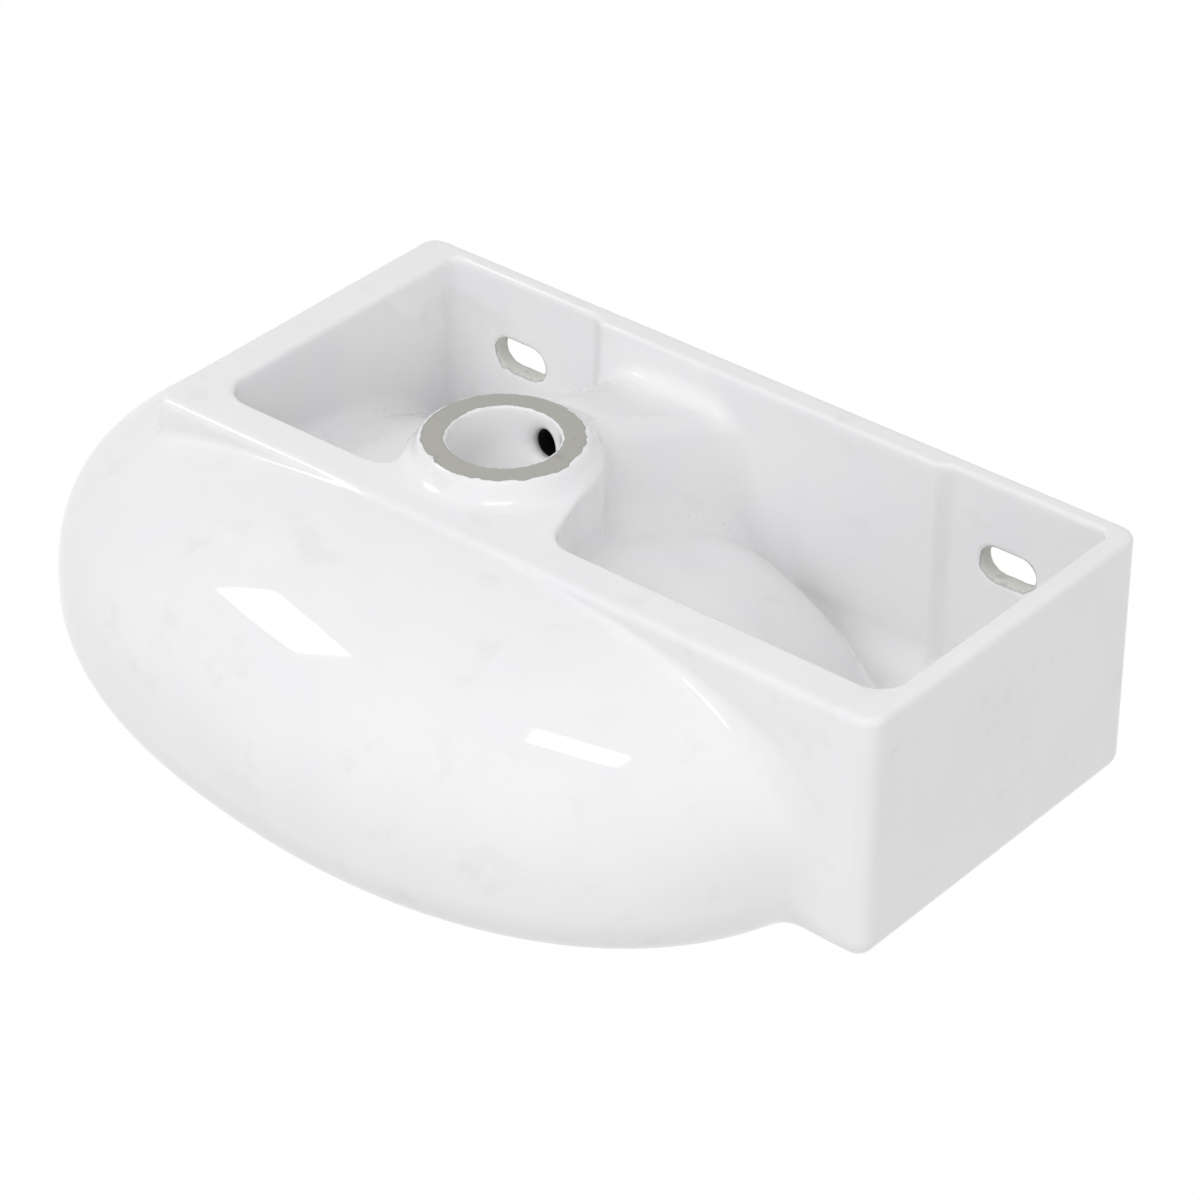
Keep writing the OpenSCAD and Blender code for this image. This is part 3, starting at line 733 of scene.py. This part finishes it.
# %% Chrome-plated brass
chrome, tree, mm = new_material("chrome-plated brass")
drops = node(tree, "TexNoise", {"Vector": mm, "Scale": 1 / 2.4, "Detail": 3.0, "Roughness": 0.5})
drops = node(tree, "MapRange", [drops, 0.56, 0.66])
streaks = node(tree, "Mapping", {"Vector": mm, "Scale": (1, 6, 1)})
wipes = node(tree, "TexNoise", {"Vector": streaks, "Scale": 1.0, "Detail": 3.0, "Roughness": 0.5})
polish = node(tree, "MapRange", [wipes, 0.3, 0.7, 0.04, 0.09])
spots = node(tree, "Math", [drops, 0.12], operation="MULTIPLY")
dull = node(tree, "Math", [polish, spots], operation="ADD")
height = node(tree, "Math", [wipes, 0.002], operation="MULTIPLY")
bump = node(tree, "Bump", {"Height": height, "Distance": MM})
share = node(tree, "Math", [drops, 0.4], operation="MULTIPLY")
tint = node(tree, "Mix", {0: share, 6: linear("#CBCCCE"), 7: linear("#B9BABB")}, data_type="RGBA").outputs[2]
plate = node(tree, "BsdfPrincipled", {"Base Color": tint, "Metallic": 1.0, "Roughness": dull, "Normal": bump})
node(tree, "OutputMaterial", {"Surface": plate})
ring.data.materials.append(chrome)
print("chrome's nodes:", len(tree.nodes))

# %% [markdown]
# ## Camera, light and floor
# The photograph shows the basin upside down, seen from above its underside. In the frame of use the
# same camera looks up from below the front edge, and it is rolled by about half a turn. Its place and
# angles come from solving the photograph as a view of a box with right angles.

# %% Camera at the photograph's angle
CAMERA_MM = (-1037.816, -1384.784, -1068.674)
AZ, EL, ROLL = 0.68237, 0.58325, 0.01064
back = np.array([-math.sin(AZ) * math.cos(EL), -math.cos(AZ) * math.cos(EL), -math.sin(EL)])
right = np.array([-math.cos(AZ), math.sin(AZ), 0.0])
up = np.cross(back, right)
right, up = math.cos(ROLL) * right + math.sin(ROLL) * up, math.cos(ROLL) * up - math.sin(ROLL) * right
camera = bpy.data.objects.new("camera", bpy.data.cameras.new("camera"))
bpy.context.collection.objects.link(camera)
camera.matrix_world = Matrix([
    [right[k], up[k], back[k], CAMERA_MM[k] * MM] for k in range(3)] + [[0, 0, 0, 1]])
camera.data.lens, camera.data.sensor_width = 150.0, 36.0
camera.data.clip_start, camera.data.clip_end = 0.05, 50.0
bpy.context.scene.camera = camera
print("the camera stands", round(math.hypot(*CAMERA_MM) * MM, 2), "m from the middle of the slots")

# %% [markdown]
# The basin is photographed in a white surround. One white world would light it from all sides alike
# and leave it flat. So the surround is white where the camera and the glaze look at it, and dimmer
# where it lights the china, which keeps its shading.

# %% White surround
world = bpy.data.worlds.new("white surround")
bpy.context.scene.world = world
world.use_nodes = True
tree = world.node_tree
tree.nodes.clear()
path = node(tree, "LightPath")
seen = node(tree, "Math", [path.outputs["Is Camera Ray"], path.outputs["Is Glossy Ray"]], operation="ADD")
seen = node(tree, "Math", [seen, path.outputs["Is Transmission Ray"]], operation="ADD", use_clamp=True)
SOFT_LIGHT, WHITE_LIGHT = 0.465, 1.0
soft = node(tree, "Background", {"Color": linear("#FFFFFF"), "Strength": SOFT_LIGHT})
white = node(tree, "Background", {"Color": linear("#FFFFFF"), "Strength": WHITE_LIGHT})
node(tree, "OutputWorld", {"Surface": node(tree, "MixShader", [seen, soft, white])})
print("the surround shines", WHITE_LIGHT, "where it is seen and", SOFT_LIGHT, "where it gives light")

# %% [markdown]
# Two softboxes give the two bright windows on the bulging front. The fills stand for the studio's
# walls and its table. They light the china softly and don't show in the glaze. Their strengths come
# from a fit to the photograph's tones.

# %% Lamps
SOFTBOXES = (
    ("left softbox", (1.11, -0.53, -1.18), (0.05, -0.24, -0.02), (-0.15, -0.18, -0.09), (0.40, 0.37), 5.2),
    ("top softbox", (-0.23, -0.58, -1.56), (-0.08, -0.22, -0.01), (-0.36, 0.08, 0.02), (0.59, 0.24), 4.6))
FILLS = (
    ("front fill", (0.0, -1.6, -1.3), 2.6), ("side fill", (-2.0, -0.3, -0.3), 1.9),
    ("back fill", (0.9, 1.6, 1.2), 2.0), ("table fill", (0.2, -1.6, 1.1), 1.2))
FILL_AIM, FILL_SIDE, FILL_SIZE = (0.0, -0.1, 0.0), (0.7, 0.7, 0.0), (1.4, 1.0)


def add_softbox(name, place, aim, side, size, radiance, mirrored=True):
    """Area lamp at a place in metres, facing the aim, with its long side turned to side. An area lamp of
    P watts has the radiance P / (pi area). Only the mirrored ones show in the glaze."""
    lamp = bpy.data.lights.new(name, "AREA")
    lamp.shape, lamp.size, lamp.size_y = "RECTANGLE", size[0], size[1]
    lamp.energy = radiance * math.pi * size[0] * size[1]
    obj = bpy.data.objects.new(name, lamp)
    bpy.context.collection.objects.link(obj)
    z_axis = np.array(place) - np.array(aim)
    z_axis /= np.linalg.norm(z_axis)
    y_axis = np.cross(z_axis, side)
    y_axis /= np.linalg.norm(y_axis)
    x_axis = np.cross(y_axis, z_axis)
    obj.matrix_world = Matrix([
        [x_axis[k], y_axis[k], z_axis[k], place[k]] for k in range(3)] + [[0, 0, 0, 1]])
    obj.visible_camera, obj.visible_glossy = False, mirrored
    print(name, "gives", round(lamp.energy, 2), "W")


for name, place, aim, side, size, radiance in SOFTBOXES:
    add_softbox(name, place, aim, side, size, radiance)
for name, place, radiance in FILLS:
    add_softbox(name, place, FILL_AIM, FILL_SIDE, FILL_SIZE, radiance, mirrored=False)

# %% [markdown]
# The floor is a pale sheet 2.2 m below the basin. For the camera three quarters of it are its own light,
# so that it looks as white as the surround, and the rest is shaded, so that it keeps a trace of the
# basin's shadow.

# %% Floor
FLOOR_HALF, FLOOR_Z, FLOOR_GLOW, GLOW_SHARE = 6, -2.2, 1.18, 0.75
corners = [(x * FLOOR_HALF, y * FLOOR_HALF, FLOOR_Z) for x, y in ((-1, -1), (1, -1), (1, 1), (-1, 1))]
floor = add_mesh("floor", corners, [(0, 1, 2, 3)])
pale, tree, mm = new_material("pale paper floor")
path = node(tree, "LightPath")
fibres = node(tree, "TexNoise", {"Vector": mm, "Scale": 1 / 3.0, "Detail": 3.0, "Roughness": 0.5})
tint = node(tree, "Mix", {0: fibres, 6: linear("#F4F4F4"), 7: linear("#F8F8F8")}, data_type="RGBA")
paper = node(tree, "BsdfPrincipled", {"Base Color": tint.outputs[2], "Roughness": 0.9})
glow = node(tree, "Emission", {"Color": linear("#FFFFFF"), "Strength": FLOOR_GLOW})
seen = node(tree, "Math", [path.outputs["Is Camera Ray"], path.outputs["Is Glossy Ray"]], operation="MAXIMUM")
share = node(tree, "Math", [seen, GLOW_SHARE], operation="MULTIPLY")
node(tree, "OutputMaterial", {"Surface": node(tree, "MixShader", [share, paper, glow])})
floor.data.materials.append(pale)
bpy.context.scene.view_settings.view_transform = "Standard"
print("the floor lies", -FLOOR_Z, "m below the slots")
